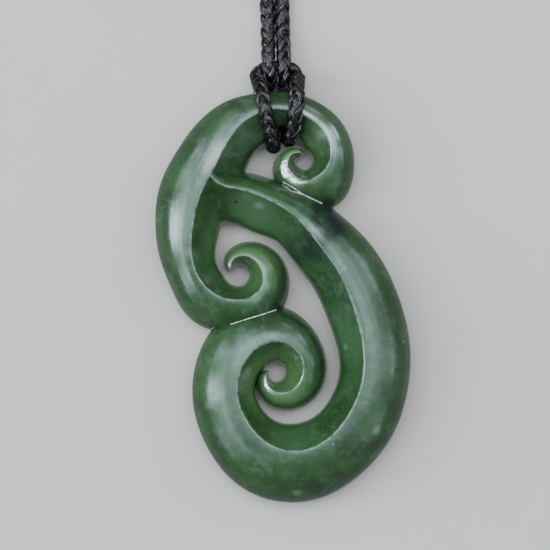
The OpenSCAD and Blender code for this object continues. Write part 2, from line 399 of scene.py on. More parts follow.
class NodeSheet:
    """A material's node tree round one Principled shader, with short calls for its nodes."""

    def __init__(self, name: str) -> None:
        """Starts the material.

        Args:
            name: The material's name.
        """
        self.material = bpy.data.materials.new(name)
        self.material.use_nodes = True
        self.tree = self.material.node_tree
        self.shader = self.tree.nodes["Principled BSDF"]

    def put(self, value: Value | Paint | Point, socket: Socket) -> None:
        """Links or sets an input.

        Args:
            value: A socket to link from, or the number, colour or vector itself.
            socket: The input.
        """
        if isinstance(value, bpy.types.NodeSocket):
            self.tree.links.new(value, socket)
        elif isinstance(value, tuple) and len(socket.default_value) == 4:
            socket.default_value = (*value, 1.0)
        else:
            socket.default_value = value

    def dress(self, **values: Value | Paint) -> None:
        """Sets the shader's inputs, named with underscores for their spaces."""
        for name, value in values.items():
            self.put(value, self.shader.inputs[name.replace("_", " ")])

    def node(self, kind: str, inputs: dict[str | int, Value | Paint], **settings: object) -> bpy.types.Node:
        """Adds a node.

        Args:
            kind: Its type, without the ShaderNode in front.
            inputs: What goes into its inputs.
            settings: Its properties.

        Returns:
            The node.
        """
        made = self.tree.nodes.new("ShaderNode" + kind)
        for name, value in settings.items():
            setattr(made, name, value)
        for key, value in inputs.items():
            self.put(value, made.inputs[key])
        return made

    def place(self, kind: str = "Object", scale: Point = (1000.0, 1000.0, 1000.0)) -> Socket:
        """The surface's coordinates.

        Args:
            kind: The output of Texture Coordinate.
            scale: What they are multiplied by, millimetres from metres if left out.

        Returns:
            The scaled vector.
        """
        raw = self.node("TexCoord", {}).outputs[kind]
        return self.node("Mapping", {"Vector": raw, "Scale": scale}).outputs["Vector"]

    def noise(self, place: Socket, clouds: Clouds) -> Socket:
        """A pattern's plain noise, from 0 to 1.

        Args:
            place: The coordinates.
            clouds: The pattern.

        Returns:
            The factor.
        """
        inputs = {"Vector": place, "Scale": clouds.scale, "Detail": clouds.detail}
        inputs |= {"Roughness": clouds.rough, "Distortion": clouds.bent}
        return self.node("TexNoise", inputs).outputs["Fac"]

    def clouds(self, place: Socket, clouds: Clouds) -> Socket:
        """A pattern put through its step."""
        return self.ramp(self.noise(place, clouds), clouds.low, clouds.high, clouds.top)

    def ramp(self, value: Socket, low: float, high: float, top: float = 1.0) -> Socket:
        """A number put through a smooth step.

        Args:
            value: The number.
            low: Where the step is 0.
            high: Where it reaches its top, which may be the smaller of the two.
            top: Its largest value.

        Returns:
            The factor.
        """
        inputs = {"Value": value, "From Min": low, "From Max": high, "To Max": top}
        return self.node("MapRange", inputs, interpolation_type="SMOOTHSTEP").outputs["Result"]

    def number(self, kind: str, first: Value, second: Value, clamp: bool = False) -> Socket:
        """The Math node's operation of that kind on two numbers, kept from 0 to 1 if asked."""
        return self.node("Math", {0: first, 1: second}, operation=kind, use_clamp=clamp).outputs[0]

    def vector(self, kind: str, first: Socket | Point, second: Socket | Point) -> Socket:
        """The Vector Math node's operation of that kind, which gives a vector or a number."""
        made = self.node("VectorMath", {0: first, 1: second}, operation=kind)
        return next(output for output in made.outputs if output.enabled)

    def mix(self, factor: Value, under: Paint, over: Paint) -> Socket:
        """Two colours mixed.

        Args:
            factor: How much of the second shows.
            under: The first colour.
            over: The second colour.

        Returns:
            The mixed colour.
        """
        made = self.node("Mix", {MIX_FACTOR: factor, MIX_UNDER: under, MIX_OVER: over}, data_type="RGBA")
        return made.outputs[MIXED]

    def layers(self, factors: Iterable[Value], under: Paint, over: Paint) -> Paint:
        """A colour laid over another once for each of several factors."""
        return reduce(lambda colour, factor: self.mix(factor, colour, over), factors, under)

    def most(self, factors: Iterable[Value]) -> Value:
        """The largest of several factors, none of which is under 0."""
        return reduce(lambda largest, factor: self.number("MAXIMUM", largest, factor), factors, 0.0)

    def spots(self, place: Socket, patches: Table) -> list[Socket]:
        """Round patches, by the distance from the middle of each.

        Args:
            place: The coordinates.
            patches: The patches.

        Returns:
            A factor for each.
        """
        factors = []
        for *middle, inner, outer, top in patches:
            away = self.vector("DISTANCE", place, tuple(middle))
            factors.append(self.ramp(away, outer, inner, top))
        return factors

    def strokes(self, place: Socket, marks: Table) -> list[Socket]:
        """Thin marks, seen from above.

        The distance is to the nearest point of the segment: the start plus the segment times
        the clamped share of the way along it. Only the distance leaves the height out.

        Args:
            place: The coordinates.
            marks: The marks.

        Returns:
            A factor for each.
        """
        factors = []
        for *ends, wide, top in marks:
            start, end = Vector(ends[:3]), Vector(ends[3:])
            way = end - start
            from_start = self.vector("SUBTRACT", place, tuple(start))
            dot = self.vector("DOT_PRODUCT", from_start, tuple(way / way.length_squared))
            share = self.number("MULTIPLY", dot, 1.0, clamp=True)
            along = self.node("VectorMath", {0: tuple(way), "Scale": share}, operation="SCALE")
            off = self.vector("SUBTRACT", from_start, along.outputs[0])
            flat = self.vector("MULTIPLY", off, (1.0, 1.0, 0.0))
            away = self.node("VectorMath", {0: flat}, operation="LENGTH").outputs["Value"]
            factors.append(self.ramp(away, wide, MARK_FULL * wide, top))
        return factors

    def bump(self, height: Socket, relief: Relief, normal: Socket | Point = (0.0, 0.0, 0.0)) -> Socket:
        """A bumped normal.

        Args:
            height: The height pattern.
            relief: How much of it shows, and its depth.
            normal: A bumped normal to add to, or else none.

        Returns:
            The normal.
        """
        inputs = {"Height": height, "Strength": relief.strength, "Distance": relief.deep}
        return self.node("Bump", inputs | {"Normal": normal}).outputs["Normal"]


# Round places on the stone, each full up to its inner radius and gone at its outer one.
# x, y, z, inner, outer, top
# painted light: lighter and yellower where light shines through a thin curl
CURL_ENDS = (
    (1.6, 19.6, 5.5, 0.8, 5.0, 0.75),
    (-5.2, 5.0, 4.5, 2.5, 7.0, 0.6),
    (-1.2, -12.6, 4.6, 3.0, 7.0, 0.7),
    (-10.6, 9.0, 3.5, 1.5, 5.0, 0.35),
)
# painted light: where the bevels are lit lighter, in the veils' colour
LIT_BEVELS = (
    (-4.1, 13.0, 6.5, 1.5, 5.0, 0.4),
    (9.5, -4.7, 5.5, 1.0, 6.0, 0.3),
    (1.0, -20.2, 5.0, 1.0, 6.0, 0.25),
)
# the dark cloud in the body
SMOKE = (
    (6.2, 10.8, 7.0, 2.0, 4.6, 0.95),
    (4.2, 7.0, 8.0, 1.0, 4.0, 0.8),
    (1.8, 6.8, 6.0, 0.6, 3.6, 0.7),
)
# where the stone shines less
MATT = (
    (-6.4, 7.2, 5.4, 1.0, 3.2, 0.55),
    (-1.1, 2.8, 6.0, 1.2, 2.1, 0.85),
    (-2.0, -0.5, 6.4, 1.0, 2.4, 0.75),
    (-6.2, -2.4, 6.5, 1.0, 4.0, 0.5),
    (-8.9, -10.8, 7.6, 1.0, 4.0, 0.3),
    (-8.4, 17.2, 8.6, 1.0, 2.4, 0.8),
    (-5.6, 16.5, 8.5, 1.0, 2.4, 0.8),
    (-2.8, 15.6, 8.5, 1.0, 2.4, 0.8),
    (-0.4, 14.5, 8.5, 1.0, 2.4, 0.8),
    (1.8, 12.8, 8.5, 1.0, 2.4, 0.8),
)
# where it shines more, smoothly
GLEAM = (
    (7.7, 23.5, 7.0, 0.8, 4.2, 0.24),
    (4.0, 27.0, 7.0, 0.4, 2.6, 0.16),
    (-10.5, 20.9, 8.3, 0.8, 4.0, 0.12),
    (-14.4, 9.5, 8.3, 0.4, 7.5, 0.09),
    (4.9, 9.4, 8.8, 0.3, 2.0, 0.09),
    (-13.4, 2.8, 7.8, 0.4, 3.0, 0.12),
)
# and where it is glossy and lumpy
GLOSS = (
    (0.2, 18.6, 6.0, 1.2, 1.8, 1.0),
    (2.3, 17.5, 6.5, 1.0, 1.6, 1.0),
    (-2.6, -12.9, 5.2, 0.8, 1.9, 1.0),
    (1.9, -9.6, 5.6, 0.6, 1.8, 0.8),
    (2.5, -12.0, 5.8, 0.4, 1.3, 0.8),
    (-7.9, 4.0, 5.2, 0.4, 1.2, 1.0),
    (-5.3, 5.0, 5.6, 0.4, 1.3, 0.8),
)
# pale flecks and dark specks
FLECKS = (
    (13.7, -19.5, 7.5, 0.1, 1.1, 0.2),
    (2.1, -28.6, 6.4, 0.1, 1.0, 0.18),
    (17.6, -6.6, 5.8, 0.05, 0.3, 0.5),
    (-3.5, 13.3, 7.4, 0.1, 1.1, 0.15),
    (9.1, -7.4, 5.5, 0.05, 0.6, 0.18),
)
SPECKS = (
    (-6.9, 13.8, 6.9, 0.12, 0.42, 0.9),
    (16.4, -10.7, 7.4, 0.10, 0.34, 0.9),
)

# Thin marks on the stone, seen from above: pale threads, a fine dark line along the body's crest,
# painted highlight in the two creases, and painted shade in the groove on both sides of it.
# x, y, z of both ends, half the width, top
THREADS = (
    (7.3, -21.4, 8.0, 9.8, -22.2, 7.0, 0.22, 0.35),
    (11.5, -14.9, 8.0, 13.9, -16.9, 7.0, 0.22, 0.3),
)
SCRATCH = (
    (5.3, 7.2, 9.0, 7.5, 4.4, 9.0, 0.12, 0.6),
    (7.5, 4.4, 9.0, 10.1, 0.2, 9.0, 0.14, 0.8),
    (10.1, 0.2, 9.0, 11.3, -2.5, 9.0, 0.14, 0.8),
    (11.3, -2.5, 9.0, 11.8, -4.5, 9.0, 0.14, 0.8),
    (11.8, -4.5, 9.0, 12.0, -7.0, 9.0, 0.12, 0.6),
)
# painted highlight: the glint along the creases' polished bottoms
CREASES = (
    (0.0, 16.7, 6.0, 1.3, 16.0, 6.0, 0.09, 0.9),
    (1.3, 16.0, 6.0, 2.6, 15.1, 6.0, 0.09, 0.9),
    (0.0, 16.3, 6.0, 1.2, 15.4, 6.0, 0.09, 0.8),
    (1.2, 15.4, 6.0, 2.6, 15.0, 6.0, 0.09, 0.9),
    (2.6, 15.05, 6.0, 5.7, 13.6, 6.0, 0.11, 0.9),
    (-7.6, -4.05, 6.0, -5.0, -3.2, 6.0, 0.09, 0.8),
    (-5.0, -3.2, 6.0, -3.0, -2.6, 6.0, 0.10, 0.9),
    (-3.0, -2.6, 6.0, -1.0, -1.95, 6.0, 0.10, 0.9),
    (-10.5, -4.7, 4.0, -10.1, -4.55, 4.0, 0.12, 0.8),
)
# painted shade in the grooves along the creases, wider than their painted highlight
GROOVE_WIDER, GROOVE_TOP = 0.16, 0.9
GROOVE_SHADE = tuple((*ends, wide + GROOVE_WIDER, GROOVE_TOP) for *ends, wide, _ in CREASES)
MARK_FULL = 0.3  # share of a mark's width that has its whole strength


@dataclass(frozen=True)
class Jade:
    """Polished green stone, cloudy, with painted light: lighter and yellower where light shines through its
    thin parts, and pale painted highlights on crest and creases.
    """

    deep: Colour = (0.0115, 0.034, 0.0095)
    mid: Colour = (0.0215, 0.058, 0.0165)
    # the veils' colour, also laid on the bevels as painted light
    milky_and_lit: Colour = (0.054, 0.105, 0.055)
    smoke: Colour = (0.007, 0.011, 0.010)
    # thin and rim: painted light, where light shines through the thin curls and the low rim
    thin: Colour = (0.070, 0.140, 0.052)
    rim: Colour = (0.080, 0.130, 0.038)
    # painted highlight in the creases
    painted_crease_glint: Colour = (0.80, 0.76, 0.74)
    fleck: Colour = (0.300, 0.450, 0.370)
    # dark specks and scratch in the stone, and painted shade in the creases' grooves
    speck_and_shade: Colour = (0.006, 0.010, 0.008)
    wear_and_highlight: Colour = (0.17, 0.22, 0.19)  # painted highlight: the crest's own pale line, where its rounded edge catches the light
    glow: Colour = (0.35, 1.0, 0.55)  # how far each colour of light goes in
    tint: Colour = (0.82, 0.97, 0.98)  # of the sheen
    soot: Colour = (0.22, 0.28, 0.27)  # of the sheen on the dark cloud and the matt places
    broad: Clouds = Clouds(0.16, 5.0, 0.55, 0.36, 0.66, bent=0.6)  # from deep to mid
    veils: Clouds = Clouds(0.42, 7.0, 0.62, 0.50, 0.74, 0.6, 0.9)
    uneven: Clouds = Clouds(0.45, 4.0, 0.6, 0.2, 0.55)  # of the dark cloud
    highlight_breaks: Clouds = Clouds(0.9, 3.0, 0.55, 0.3, 0.6, 0.75)  # of the crest's painted highlight
    broken: Clouds = Clouds(3.2, 3.0, 0.6, 0.34, 0.52)  # of the thin marks
    smears: Clouds = Clouds(0.9, 4.0, 0.6, 0.3, 0.7, 0.09)  # added to the roughness
    near_floor: tuple[float, float, float] = (3.2, 0.6, 0.7)  # step of the height, for the rim's painted light
    near_crest: tuple[float, float] = (0.18, 0.05)  # step of the distance across from the crest
    up_there: tuple[float, float] = (0.75, 0.9)  # step of the share of the way up to it
    roughness: float = 0.22
    dull: float = 0.3  # how much rougher the scratch is
    waves: Relief = Relief(Clouds(0.45, 2.0, 0.5), 0.30, 0.0002)
    grain: Relief = Relief(Clouds(9.0, 2.0, 0.6), 0.10, 0.00001)
    lumps: Relief = Relief(Clouds(1.1, 2.0, 0.6), 0.6, 0.0004)  # of the glossy places

    def body(self, sheet: NodeSheet, place: Socket) -> tuple[Paint, Paint]:
        """The stone's own colour and that of its sheen.

        Deep green goes to mid green with broad clouds and takes pale milk-green veils over them.
        Painted light follows: patches make the curls' ends lighter and yellower, where light shines
        through them, and the bevels lighter in the veils' colour, and height makes the low rim lighter,
        where light shines through it. The dark cloud comes last and shines less, and the matt places
        shine less too.

        Args:
            sheet: The material's nodes.
            place: The coordinates.

        Returns:
            Both colours.
        """
        colour: Paint = sheet.mix(sheet.clouds(place, self.broad), self.deep, self.mid)
        colour = sheet.mix(sheet.clouds(place, self.veils), colour, self.milky_and_lit)
        # painted light where light shines through the thin curl ends
        colour = sheet.layers(sheet.spots(place, CURL_ENDS), colour, self.thin)
        # painted light on the bevels, in the veils' colour
        colour = sheet.layers(sheet.spots(place, LIT_BEVELS), colour, self.milky_and_lit)
        # painted light on the low rim, where light shines through it
        height = sheet.node("SeparateXYZ", {0: place}).outputs["Z"]
        colour = sheet.mix(sheet.ramp(height, *self.near_floor), colour, self.rim)
        uneven = sheet.clouds(place, self.uneven)
        smoke = [sheet.number("MULTIPLY", spot, uneven) for spot in sheet.spots(place, SMOKE)]
        sheen = sheet.layers([*smoke, *sheet.spots(place, MATT)], self.tint, self.soot)
        return sheet.layers(smoke, colour, self.smoke), sheen

    def marked(self, sheet: NodeSheet, place: Socket, colour: Paint) -> tuple[Paint, Value]:
        """The colour with its flecks, the crest's painted highlight, the thin marks, painted glints and
        shade among them, and the specks.

        The crest's painted highlight is drawn with the piece's own map.

        Args:
            sheet: The material's nodes.
            place: The coordinates.
            colour: The stone's own colour.

        Returns:
            The colour, and where the scratch is.
        """
        colour = sheet.layers(sheet.spots(place, FLECKS), colour, self.fleck)
        own = sheet.node("SeparateXYZ", {0: sheet.place("UV", (1.0, 1.0, 1.0))}).outputs
        # painted highlight along the crest: close to it across, high up it, and broken
        line = sheet.ramp(sheet.number("ABSOLUTE", own["X"], 0.0), *self.near_crest)
        line = sheet.number("MULTIPLY", line, sheet.ramp(own["Y"], *self.up_there))
        line = sheet.number("MULTIPLY", line, sheet.clouds(place, self.highlight_breaks))
        colour = sheet.mix(line, colour, self.wear_and_highlight)
        broken = sheet.clouds(place, self.broken)
        drawn: list[Socket] = []
        # painted shade along the grooves and painted highlight in the creases, beside the real threads and
        # scratch
        for marks, paint in (
            (THREADS, self.fleck),
            (GROOVE_SHADE, self.speck_and_shade),
            (CREASES, self.painted_crease_glint),
            (SCRATCH, self.speck_and_shade),
        ):
            drawn = [sheet.number("MULTIPLY", stroke, broken) for stroke in sheet.strokes(place, marks)]
            colour = sheet.layers(drawn, colour, paint)
        return sheet.layers(sheet.spots(place, SPECKS), colour, self.speck_and_shade), sheet.most(drawn)

    def material(self) -> bpy.types.Material:
        """The material.

        The scratch is rougher than the rest. The coat is there only in the places that gleam or
        are glossy, and it is lumpy in the glossy ones.

        Returns:
            The finished material.
        """
        sheet = NodeSheet("jade")
        place = sheet.place()
        colour, sheen = self.body(sheet, place)
        colour, scratch = self.marked(sheet, place, colour)
        rough = sheet.number("ADD", sheet.clouds(place, self.smears), self.roughness)
        rough = sheet.number("ADD", rough, sheet.number("MULTIPLY", scratch, self.dull))
        glossy = sheet.most(sheet.spots(place, GLOSS))
        lumps = sheet.number("MULTIPLY", sheet.noise(place, self.lumps.clouds), glossy)
        waves = sheet.bump(sheet.noise(place, self.waves.clouds), self.waves)
        sheet.dress(
            Base_Color=colour,
            Roughness=rough,
            IOR=1.63,
            Specular_Tint=sheen,
            Subsurface_Weight=0.1,
            Subsurface_Radius=self.glow,
            Subsurface_Scale=0.001,
            Coat_Weight=sheet.most([glossy, *sheet.spots(place, GLEAM)]),
            Coat_Roughness=0.18,
            Coat_IOR=4.0,
            Coat_Normal=sheet.bump(lumps, self.lumps),
            Normal=sheet.bump(sheet.noise(place, self.grain.clouds), self.grain, waves),
        )
        return sheet.material


@dataclass(frozen=True)
class WaxedBraid:
    """Black waxed fibre, its fine filaments running along each strand."""

    dark: Colour = (0.002, 0.0018, 0.0022)
    wear_and_highlight: Colour = (0.007, 0.006, 0.0075)
    tint: Colour = (1.0, 0.88, 0.92)
    filament_map: Point = (2.2, 1.1, 1.0)  # clouds round a strand and to the millimetre along it
    wax_map: Point = (2.2, 2.0, 1.0)
    filaments: Relief = Relief(Clouds(1.0, 1.0, 0.5), 1.0, 0.00035)
    wear: Clouds = Clouds(1.1, 3.0, 0.6, 0.45, 0.75)
    dry: Clouds = Clouds(1.0, 2.0, 0.6, 0.56, 0.46, 0.3)  # added to the roughness
    roughness: float = 0.1

    def material(self) -> bpy.types.Material:
        """The material.

        The strands' own map runs round a strand and along it. Noise on it makes the filaments, as
        bump, and the waxed and dry places. Broader noise makes the worn ones.

        Returns:
            The finished material.
        """
        sheet = NodeSheet("waxed_braid")
        wear_and_highlight = sheet.clouds(sheet.place(), self.wear)
        dry = sheet.clouds(sheet.place("UV", self.wax_map), self.dry)
        filaments = sheet.noise(sheet.place("UV", self.filament_map), self.filaments.clouds)
        sheet.dress(
            Base_Color=sheet.mix(wear_and_highlight, self.dark, self.wear_and_highlight),
            Roughness=sheet.number("ADD", dry, self.roughness),
            Specular_IOR_Level=0.65,
            Specular_Tint=self.tint,
            Normal=sheet.bump(filaments, self.filaments),
        )
        return sheet.material


@dataclass(frozen=True)
class PlainFloor:
    """Pale matt board."""

    pale: Colour = (0.47, 0.43, 0.40)
    darker: Colour = (0.4418, 0.4042, 0.376)
    mottle: Clouds = Clouds(0.05, 3.0, 0.55)

    def material(self) -> bpy.types.Material:
        """The material, with a faint mottle.

        Returns:
            The finished material.
        """
        sheet = NodeSheet("pale_floor")
        mottle = sheet.noise(sheet.place(), self.mottle)
        sheet.dress(Base_Color=sheet.mix(mottle, self.pale, self.darker), Roughness=0.9)
        return sheet.material


@dataclass
class Stone:
    """The carved stone: two bands with one crest each that run into each other."""

    node: str = "pendant"
    step: float = 0.24  # distance between sections, in millimetres
    tip_round: float = 0.9  # length over which a curl's end rounds off
    tip_least: float = 0.12  # share of its width that the very end keeps
    tip_tall: float = 0.5  # and of its height
    tip_sections: int = 14
    clear: float = 0.95  # share of the turn's radius that the inside flank may fill
    least_bend: float = 0.001  # so that a straight run has a turn's radius too
    blend: float = 6.0  # how closely the flank's width follows the smaller of its two limits
    round_inner: float = 0.26  # length of the inside flank that is rounded over at the crest
    round_outer: float = 0.17  # and of the outside flank
    full_round: float = 5.5  # a band narrower than this outside is rounded over less
    most_round: float = 0.4  # share of a flank's width that may be rounded over
    soft: float = 0.9  # how much more is rounded over on the top curl
    soft_run: tuple[float, float] = (5.0, 9.0)  # up to where from its end, and where that stops
    sharp_deg: float = 38.0
    block: float = 200.0  # side of the block that the back is ground off to
    merged: float = 2e-6  # metres within which points become one
    sliver: float = 1e-6  # and under which an edge is dropped
    inner_points: int = 20
    crest_points: int = 7
    outer_points: int = 24
    finish: Jade = field(default_factory=Jade)

    def stations(self, length: float) -> np.ndarray:
        """Where a band's sections stand: evenly, and closer together at both ends.

        Args:
            length: The band's length.

        Returns:
            Distances from its start.
        """
        close = self.tip_round * np.linspace(0, 1, self.tip_sections) ** 2
        middle = np.arange(self.tip_round + self.step, length - self.tip_round, self.step)
        return np.concatenate([close, middle, length - close[::-1]])

    def side(
        self, rows: Table, wide: np.ndarray, tall: np.ndarray, count: int, short: np.ndarray
    ) -> np.ndarray:
        """One side of every section, short of the crest.

        The length left out is turned into the table's own by the size of its step at the crest.

        Args:
            rows: The side's table of shares, which has the crest at its first or last row.
            wide: The side's width at each section.
            tall: The height at each section.
            count: How many points the side has.
            short: The length left out at the crest, as far as most_round lets it.

        Returns:
            Lengths across and up, by section and point.
        """
        curve = SmoothRows(rows, 2)
        from_crest = rows[0][0] == 0
        step = curve.rows[1] - curve.rows[0] if from_crest else curve.rows[-1] - curve.rows[-2]
        scale = np.hypot(step[0] * wide, step[1] * tall) / np.hypot(*step)
        stop = (np.minimum(short, self.most_round * wide) / scale)[:, None]
        share = np.linspace(0, 1, count)[None, :]
        shares = curve.at(share * (curve.length - stop) + (stop if from_crest else 0))[0]
        return np.stack([shares[..., 0] * wide[:, None], shares[..., 1] * tall[:, None]], axis=-1)

    def band_points(self, rows: Table, soft: float) -> tuple[np.ndarray, np.ndarray]:
        """The skin of one band as a grid.

        A section is the flanks' shares times its widths and height, set square to the crest's
        direction. Near the ends it shrinks as the root of 1 - (1 - d)^2 does, d being the share
        of tip_round from the end. The inside flank stops short of the centre of the turn. The
        crest is a curve from a point on one flank to a point on the other that leans to the
        corner between them.

        Args:
            rows: The band's table.
            soft: How much more of the crest is rounded over near its first end.

        Returns:
            Points by section and place round it, in millimetres, and the map there: the distance
            across from the crest and the share of the way up to it.
        """
        curve = SmoothRows(rows, 2)
        stations = self.stations(curve.length)
        value, go, pull = curve.at(stations)
        speed = np.linalg.norm(go[:, :2], axis=1)
        way = go[:, :2] / speed[:, None]
        bend = (go[:, 0] * pull[:, 1] - go[:, 1] * pull[:, 0]) / speed**3
        outer, inner, crest, back = value[:, 2], value[:, 3], value[:, 4], value[:, 5]
        room = self.clear / np.maximum(bend, self.least_bend)
        inner = (inner**-self.blend + room**-self.blend) ** (-1 / self.blend)
        ends = [np.linalg.norm(value[:, :2] - value[i, :2], axis=1) for i in (0, -1)]
        near = np.minimum(1, np.minimum(*ends) / self.tip_round)
        share = np.maximum(self.tip_least, np.sqrt(1 - (1 - near) ** 2))
        tall = crest - back
        full, gone = self.soft_run
        more = soft * smooth(np.clip((gone - stations) / (gone - full), 0, 1))
        narrow = np.minimum(1, outer / self.full_round)
        over_in, over_out = (narrow * short + more for short in (self.round_inner, self.round_outer))
        inside = self.side(INNER_FLANK, inner * share, tall, self.inner_points, over_in)
        outside = self.side(OUTER_FLANK, outer * share, tall, self.outer_points, over_out)
        t = np.linspace(0, 1, self.crest_points + 2)[1:-1][None, :, None]
        corner = np.stack([np.zeros_like(tall), tall], axis=-1)[:, None, :]
        over = (1 - t) ** 2 * inside[:, -1:] + 2 * t * (1 - t) * corner + t**2 * outside[:, :1]
        section = np.concatenate([inside, over, outside], axis=1)
        reach, up = section[..., 0], section[..., 1] + back[:, None]
        middle = ((crest + back) / 2)[:, None]
        points = np.stack(
            [
                value[:, :1] + reach * way[:, 1:2],
                value[:, 1:2] - reach * way[:, 0:1],
                middle + (up - middle) * (self.tip_tall + (1 - self.tip_tall) * share[:, None]),
            ],
            axis=-1,
        )
        return points, np.stack([reach, section[..., 1] / tall[:, None]], axis=-1)

    def joined(self) -> bpy.types.Object:
        """Both bands as one closed skin, ground off flat at the back.

        Returns:
            The object, still in millimetres.
        """
        bands = []
        for name, rows, soft in (("head_band", HEAD_BAND, self.soft), ("body_band", BODY_BAND, 0.0)):
            points, own = self.band_points(rows, soft)
            bands.append(mesh_piece(name, points, tube_faces(*points.shape[:2], turned=True)))
            lay_map(bands[-1], own.reshape(-1, 2))
        head, body = bands
        block = bpy.data.objects.new("block", bpy.data.meshes.new("block"))
        bpy.context.scene.collection.objects.link(block)
        shape = bmesh.new()
        bmesh.ops.create_cube(shape, size=self.block)
        bmesh.ops.translate(shape, verts=shape.verts, vec=(0, 0, self.block / 2))
        shape.to_mesh(block.data)
        shape.free()
        for other, kind in ((body, "UNION"), (block, "INTERSECT")):
            cut = head.modifiers.new(kind.lower(), "BOOLEAN")
            cut.object, cut.operation, cut.solver = other, kind, "EXACT"
        graph = bpy.context.evaluated_depsgraph_get()
        whole = bpy.data.meshes.new_from_object(head.evaluated_get(graph))
        for spare in (head, body, block):
            mesh = spare.data
            bpy.data.objects.remove(spare)
            bpy.data.meshes.remove(mesh)
        piece = bpy.data.objects.new("stone", whole)
        bpy.context.scene.collection.objects.link(piece)
        return piece

    def fit(self, piece: bpy.types.Object) -> None:
        """Brings the skin to the CAD node's box, in metres, and marks its sharp creases.

        Args:
            piece: The object in millimetres.
        """
        mesh = piece.data
        points = np.array([vertex.co for vertex in mesh.vertices])
        low, high = (np.array(corner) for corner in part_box(self.node))
        share = (points - points.min(0)) / np.ptp(points, axis=0)
        mesh.vertices.foreach_set("co", (low + share * (high - low)).ravel())
        shape = bmesh.new()
        shape.from_mesh(mesh)
        bmesh.ops.remove_doubles(shape, verts=shape.verts, dist=self.merged)
        bmesh.ops.dissolve_degenerate(shape, edges=shape.edges, dist=self.sliver)
        bmesh.ops.triangulate(shape, faces=[f for f in shape.faces if len(f.verts) > 4])
        shape.to_mesh(mesh)
        shape.free()
        mesh.polygons.foreach_set("use_smooth", [True] * len(mesh.polygons))
        mesh.set_sharp_from_angle(angle=math.radians(self.sharp_deg))
        mesh.update()

    def build(self) -> bpy.types.Object:
        """The finished stone.

        Returns:
            The object, dressed and in its place.
        """
        piece = self.joined()
        self.fit(piece)
        piece.data.materials.clear()
        piece.data.materials.append(self.finish.material())
        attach(piece, "root")
        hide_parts(self.node)
        return piece


@dataclass
class Line:
    """A path of even stations with a side direction that is carried along without twist."""

    middles: np.ndarray
    sides: np.ndarray
    ups: np.ndarray
    run: np.ndarray

    @classmethod
    def through(cls, rows: Table, close: float, wide: float, first: Point = (0, 0, 1)) -> Line:
        """A path through a table's rows.

        The number of stations up to a place is the sum of each short step over its spacing. The
        up direction at a station is the last one's, less its part along the new direction.

        Args:
            rows: Places, in millimetres.
            close: How far apart the stations are where the cord is seen close.
            wide: How far apart they are beyond FAR_Y.
            first: The up direction at the start.

        Returns:
            The path.
        """
        curve = SmoothRows(rows, 3)
        fine = np.linspace(0, curve.length, FINE_STEPS * len(rows) + 1)
        places = curve.at(fine)[0]
        gaps = np.linalg.norm(np.diff(places, axis=0), axis=1)
        run = np.concatenate([[0], np.cumsum(gaps)])
        apart = np.where(places[:, 1] < FAR_Y, close, wide)
        count = np.concatenate([[0], np.cumsum(gaps / (0.5 * (apart[1:] + apart[:-1])))])
        stops = np.interp(np.linspace(0, count[-1], int(count[-1]) + 1), count, run)
        middles, go, _ = curve.at(np.interp(stops, run, fine))
        ways = unit(go)
        ups = np.empty_like(ways)
        up = np.array(first, float)
        for i, way in enumerate(ways):
            up = up - (up @ way) * way
            up /= np.linalg.norm(up)
            ups[i] = up
        return cls(middles, np.cross(ways, ups), ups, stops)


def tubes_piece(name: str, tubes: Iterable[tuple[np.ndarray, np.ndarray]]) -> bpy.types.Object:
    """Closed tubes as one object in metres, with a map and with normals outwards.

    The map's first number is the cosine of the angle round a tube, moved on for each tube, and the
    second one is the distance along the path.

    Args:
        name: The object's name.
        tubes: Each tube's points, by station and place round it, and its stations' distances.

    Returns:
        The object.
    """
    points: list[np.ndarray] = []
    faces: list[list[int]] = []
    maps: list[np.ndarray] = []
    count = 0
    for rings, run in tubes:
        stations, sides = rings.shape[:2]
        faces += tube_faces(stations, sides, count)
        points.append(rings.reshape(-1, 3))
        side, far = np.meshgrid(np.cos(ring_angles(sides)), run)
        shift = MAP_SHIFT * (count % MAP_TURNOVER)
        maps.append(np.stack([side + shift, far], axis=-1).reshape(-1, 2))
        count += stations * sides
    made = mesh_piece(name, np.concatenate(points) * MM, faces)
    lay_map(made, np.concatenate(maps))
    shape = bmesh.new()
    shape.from_mesh(made.data)
    bmesh.ops.recalc_face_normals(shape, faces=shape.faces)
    shape.to_mesh(made.data)
    shape.free()
    return made


